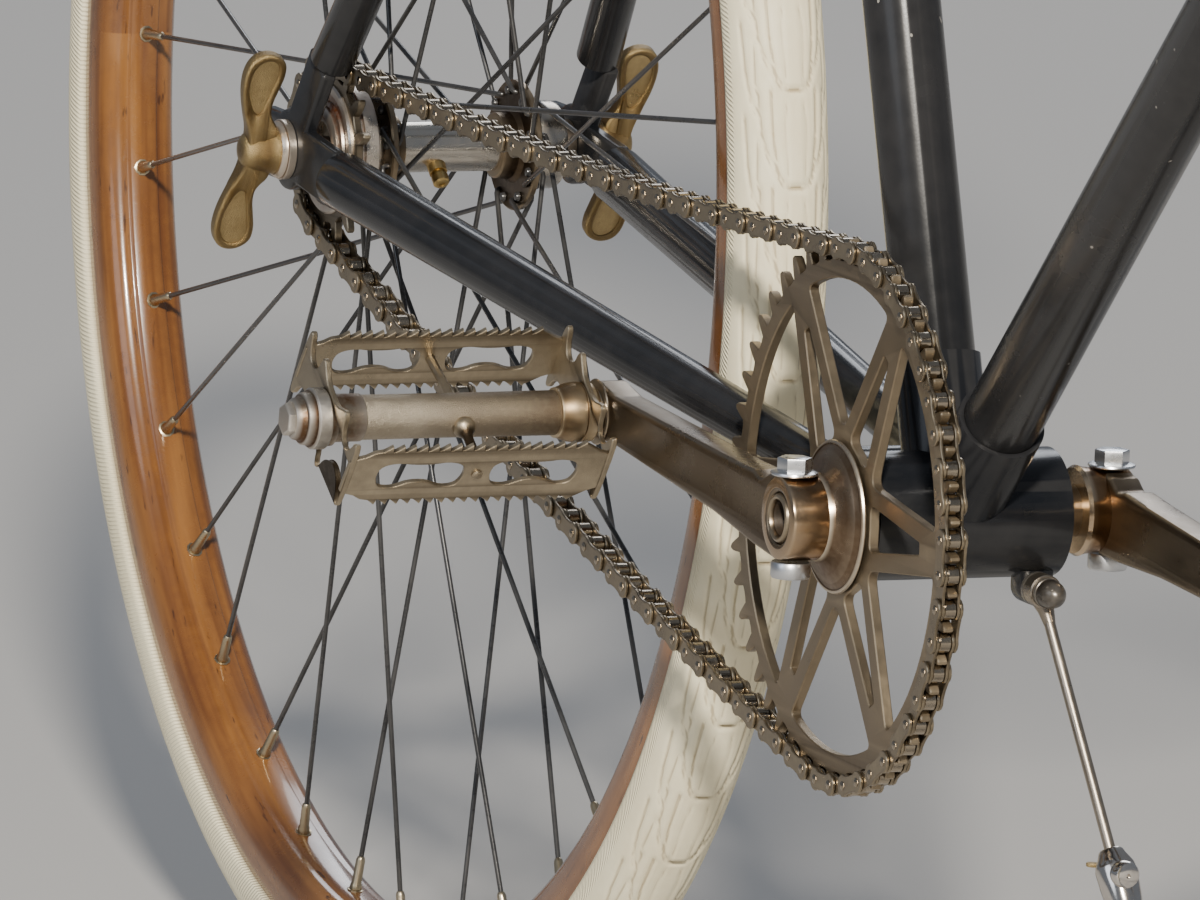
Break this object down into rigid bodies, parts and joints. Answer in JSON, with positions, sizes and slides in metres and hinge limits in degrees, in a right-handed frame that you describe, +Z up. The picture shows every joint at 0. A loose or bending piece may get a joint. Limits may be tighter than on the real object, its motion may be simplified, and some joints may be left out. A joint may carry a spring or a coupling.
{
  "type": "racing bicycle",
  "caption": "Early path racing bicycle on a prop leg, with wooden rims, cream tyres, wing nuts, a strutted chainring and rat-trap pedals.",
  "frame": {"origin": "on the floor, midway between the two wheel axles and at the middle of the overall width", "axes": "+X forward, +Y to the rider's left, +Z up; the bicycle leans 3 degrees towards +Y on its prop leg"},
  "size_m": [1.84, 0.491, 0.9806],
  "materials": {
    "black_paint": "satin black brushed enamel with small chips",
    "wood": "varnished honey brown bent wood",
    "cream_rubber": "cream rubber",
    "aged_nickel": "worn nickel plate gone brown",
    "dark_steel": "oiled dark steel",
    "bright_steel": "bright plated steel",
    "bronze": "cast bronze, dulled",
    "black_wire": "black enamelled wire",
    "leather": "dark brown hide",
    "cork": "stitched leather over cork",
    "black_rubber": "black rubber"
  },
  "bodies": {
    "frame": {"head_tube": "black_paint", "seat_lug": "black_paint", "seat_tube": "black_paint", "top_tube": "black_paint", "down_tube": "black_paint", "bb_shell": "black_paint", "bb_cups": "dark_steel", "chain_stays": "black_paint", "seat_stays": "black_paint", "fork_ends": "black_paint", "seat_post": "bright_steel", "saddle_top": "leather", "saddle_frame": "dark_steel", "rear_axle": "dark_steel", "rear_wing_nuts": "bronze", "chain": "dark_steel", "freewheel": "aged_nickel", "stand_bolt": "bright_steel"},
    "steering": {"fork": "black_paint", "headset": "aged_nickel", "stem": "aged_nickel", "handlebar": "aged_nickel", "grips": "cork", "front_axle": "dark_steel", "front_wing_nuts": "bronze"},
    "rear_wheel": {"rear_tyre": "cream_rubber", "rear_rim": "wood", "rear_spokes": "black_wire", "rear_hub": "bright_steel"},
    "front_wheel": {"front_tyre": "cream_rubber", "front_rim": "wood", "front_spokes": "black_wire", "front_hub": "bright_steel"},
    "cranks": {"bottom_spindle": "aged_nickel", "chainring": "aged_nickel", "right_crank": "aged_nickel", "left_crank": "aged_nickel", "crank_cotters": "bright_steel", "pedal_spindles": "dark_steel"},
    "right_pedal": {"right_pedal_cage": "aged_nickel", "right_pedal_barrel": "aged_nickel"},
    "left_pedal": {"left_pedal_cage": "aged_nickel", "left_pedal_barrel": "aged_nickel"},
    "stand": {"stand_rod": "aged_nickel", "stand_clamp": "bright_steel", "stand_tube": "aged_nickel", "stand_foot": "black_rubber"}
  },
  "joints": [
    {"name": "steering", "type": "hinge", "parent": "frame", "child": "steering", "pos_m": [0.51362, -0.03036, 0.32947], "axis": [-0.342, 0.0492, 0.9384], "range_deg": [-60, 60]},
    {"name": "rear_wheel_spin", "type": "hinge", "parent": "frame", "child": "rear_wheel", "pos_m": [-0.57, -0.02929, 0.34997], "axis": [0, 0.9986, -0.0523], "continuous": true},
    {"name": "front_wheel_spin", "type": "hinge", "parent": "steering", "child": "front_wheel", "pos_m": [0.57, -0.02929, 0.34997], "axis": [0, 0.9986, -0.0523], "continuous": true},
    {"name": "crank_spin", "type": "hinge", "parent": "frame", "child": "cranks", "pos_m": [-0.06994, -0.03243, 0.29005], "axis": [0, 0.9986, -0.0523], "continuous": true},
    {"name": "right_pedal_spin", "type": "hinge", "parent": "cranks", "child": "right_pedal", "pos_m": [-0.23952, -0.03181, 0.30189], "axis": [0, 0.9986, -0.0523], "continuous": true},
    {"name": "left_pedal_spin", "type": "hinge", "parent": "cranks", "child": "left_pedal", "pos_m": [0.09965, -0.03305, 0.2782], "axis": [0, 0.9986, -0.0523], "continuous": true},
    {"name": "stand_fold", "type": "hinge", "parent": "frame", "child": "stand", "pos_m": [-0.04794, -0.00483, 0.26256], "axis": [1, 0, 0], "range_deg": [-30, 0]}
  ]
}
